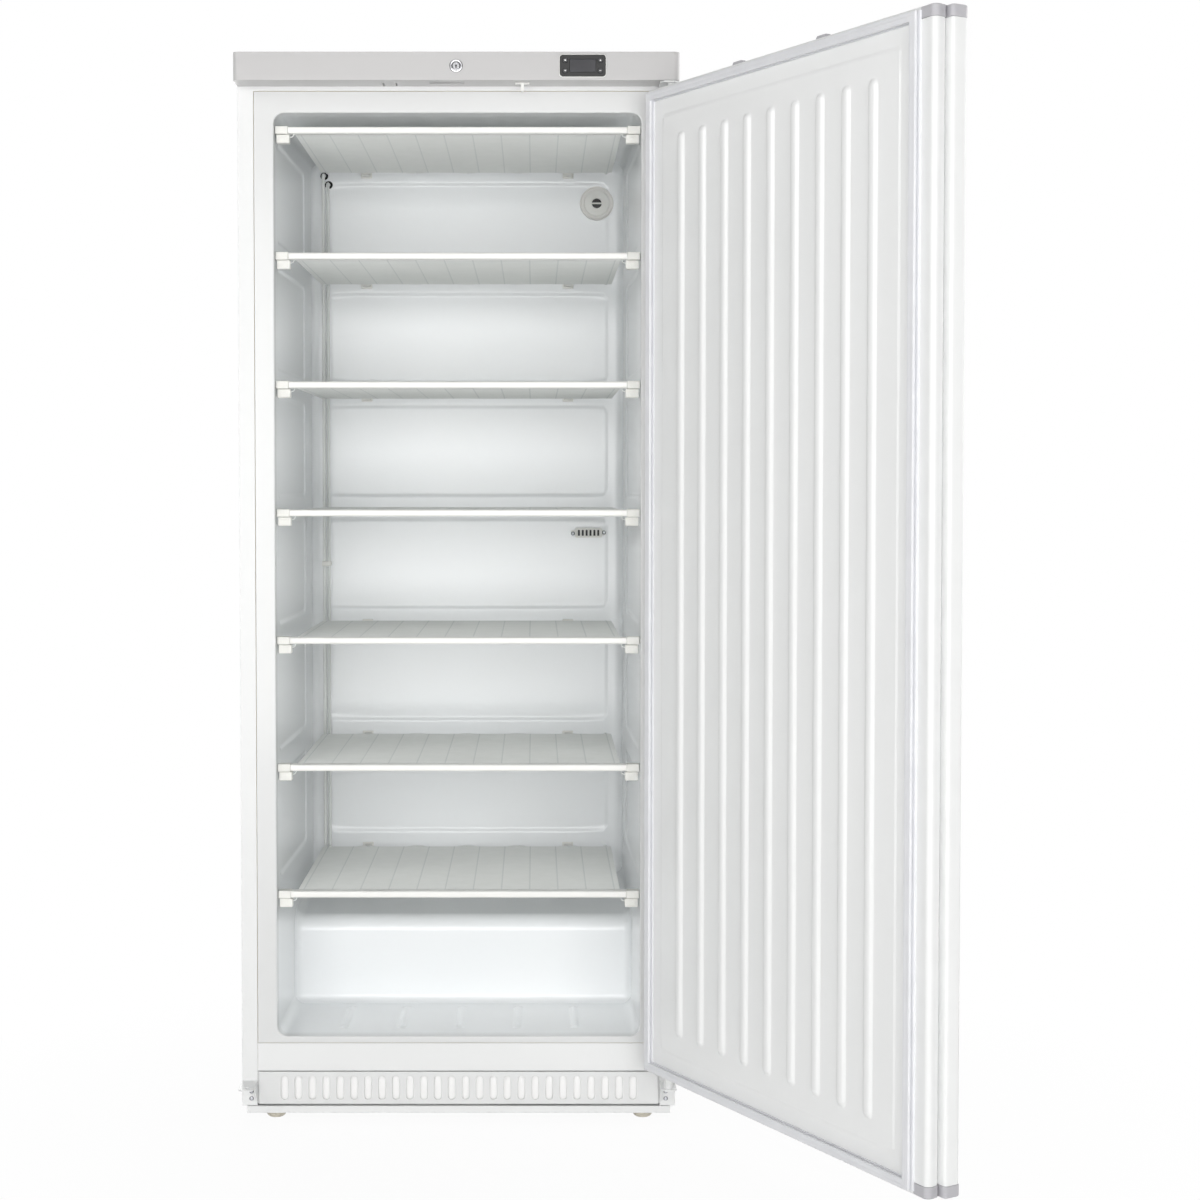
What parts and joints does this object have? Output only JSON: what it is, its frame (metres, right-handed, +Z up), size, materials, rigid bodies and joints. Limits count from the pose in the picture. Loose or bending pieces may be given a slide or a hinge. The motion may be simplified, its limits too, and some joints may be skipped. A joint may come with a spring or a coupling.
{
  "type": "upright freezer",
  "caption": "White upright freezer standing open, with fixed evaporator shelves, a ribbed hinged door, a canopy with lock and controller, feet and rear rollers.",
  "frame": {"origin": "on the floor, under the middle of the space that the freezer takes up with its door open as at rest; the middle of the cabinet's face is 185.7 mm to -X and 56.1 mm to +Y of it", "axes": "+Z up, +X to the right as seen from the front, +Y from the front to the back"},
  "size_m": [1.1455, 1.3634, 1.895],
  "materials": {
    "white_enamel": "satin",
    "white_liner": "satin",
    "foam": "matte",
    "zinc_steel": "satin",
    "silver_paint": "satin",
    "chrome": "polished",
    "black_plastic": "satin",
    "display_glass": "gloss",
    "white_plastic": "satin",
    "screw_steel": "satin",
    "clip_plastic": "satin",
    "evaporator_paint": "satin",
    "trim_plastic": "satin",
    "foot_plastic": "matte",
    "white_rubber": "matte",
    "white_profile": "satin",
    "grey_plastic": "satin",
    "black_enamel": "satin",
    "black_rubber": "matte",
    "copper": "satin"
  },
  "bodies": {
    "cabinet": {"cabinet_shell": "white_enamel", "liner": "white_liner", "cabinet_insulation": "foam", "machine_bay_panel": "zinc_steel", "lower_front_panel": "white_enamel", "vent_grille": "white_enamel", "base_frame": "white_enamel", "canopy": "silver_paint", "lock_housing": "chrome", "controller_bezel": "black_plastic", "controller_display": "display_glass", "switch_collar": "white_plastic", "lower_hinge_bracket": "white_enamel", "spare_hinge_bracket": "white_enamel", "upper_hinge_bracket": "white_enamel", "hinge_screws": "screw_steel", "shelf_front_clips": "clip_plastic", "shelf_rear_clips": "clip_plastic", "riser_tubes": "evaporator_paint", "rear_vent": "clip_plastic", "probe_cover": "white_plastic", "compressor": "black_enamel", "compressor_mounts": "black_rubber", "condenser": "black_enamel", "refrigerant_pipes": "copper", "filter_drier": "copper", "evaporating_tray": "black_plastic", "cable_gland": "black_plastic", "evaporator_shelf_1": "evaporator_paint", "evaporator_shelf_2": "evaporator_paint", "evaporator_shelf_3": "evaporator_paint", "evaporator_shelf_4": "evaporator_paint", "evaporator_shelf_5": "evaporator_paint", "evaporator_shelf_6": "evaporator_paint", "evaporator_shelf_7": "evaporator_paint", "shelf_trim_1": "trim_plastic", "shelf_trim_2": "trim_plastic", "shelf_trim_3": "trim_plastic", "shelf_trim_4": "trim_plastic", "shelf_trim_5": "trim_plastic", "shelf_trim_6": "trim_plastic", "shelf_trim_7": "trim_plastic"},
    "door": {"door_outer_shell": "white_enamel", "door_insulation": "foam", "door_liner": "white_liner", "door_gasket": "white_rubber", "door_handle": "white_profile", "handle_end_caps": "grey_plastic", "door_switch_tabs": "grey_plastic", "door_hinge_bushes": "white_plastic"},
    "lock_cam": {"lock_barrel": "chrome"},
    "switch_plunger": {"switch_plunger": "white_plastic"},
    "front_foot_left": {"front_foot_left": "foot_plastic"},
    "front_foot_right": {"front_foot_right": "foot_plastic"},
    "rear_roller_left": {"rear_roller_left": "black_plastic"},
    "rear_roller_right": {"rear_roller_right": "black_plastic"},
    "button_1": {"controller_button_1": "black_plastic"},
    "button_2": {"controller_button_2": "black_plastic"},
    "button_3": {"controller_button_3": "black_plastic"},
    "button_4": {"controller_button_4": "black_plastic"}
  },
  "joints": [
    {"name": "door_hinge", "type": "hinge", "parent": "cabinet", "child": "door", "pos_m": [0.18734, 0.00806, 0.96], "axis": [0, 0, 1], "range_deg": [-118.5, 11.5]},
    {"name": "lock_turn", "type": "hinge", "parent": "cabinet", "child": "lock_cam", "pos_m": [-0.18566, 0.00606, 1.8705], "axis": [0, -1, 0], "range_deg": [0, 90]},
    {"name": "switch_press", "type": "slide", "parent": "cabinet", "child": "switch_plunger", "axis": [0, 0, 1], "range_m": [0, 0.006], "stiffness_N_per_m": 120, "springref_m": -0.002},
    {"name": "button_1_press", "type": "slide", "parent": "cabinet", "child": "button_1", "axis": [0, 1, 0], "range_m": [0, 0.0008], "stiffness_N_per_m": 900, "springref_m": -0.0002},
    {"name": "button_2_press", "type": "slide", "parent": "cabinet", "child": "button_2", "axis": [0, 1, 0], "range_m": [0, 0.0008], "stiffness_N_per_m": 900, "springref_m": -0.0002},
    {"name": "button_3_press", "type": "slide", "parent": "cabinet", "child": "button_3", "axis": [0, 1, 0], "range_m": [0, 0.0008], "stiffness_N_per_m": 900, "springref_m": -0.0002},
    {"name": "button_4_press", "type": "slide", "parent": "cabinet", "child": "button_4", "axis": [0, 1, 0], "range_m": [0, 0.0008], "stiffness_N_per_m": 900, "springref_m": -0.0002},
    {"name": "foot_left_level", "type": "slide", "parent": "cabinet", "child": "front_foot_left", "axis": [0, 0, 1], "range_m": [-0.012, 0]},
    {"name": "roller_left_spin", "type": "hinge", "parent": "cabinet", "child": "rear_roller_left", "pos_m": [-0.51766, 0.63106, 0.013], "axis": [1, 0, 0], "continuous": true},
    {"name": "foot_right_level", "type": "slide", "parent": "cabinet", "child": "front_foot_right", "axis": [0, 0, 1], "range_m": [-0.012, 0]},
    {"name": "roller_right_spin", "type": "hinge", "parent": "cabinet", "child": "rear_roller_right", "pos_m": [0.14634, 0.63106, 0.013], "axis": [1, 0, 0], "continuous": true}
  ]
}
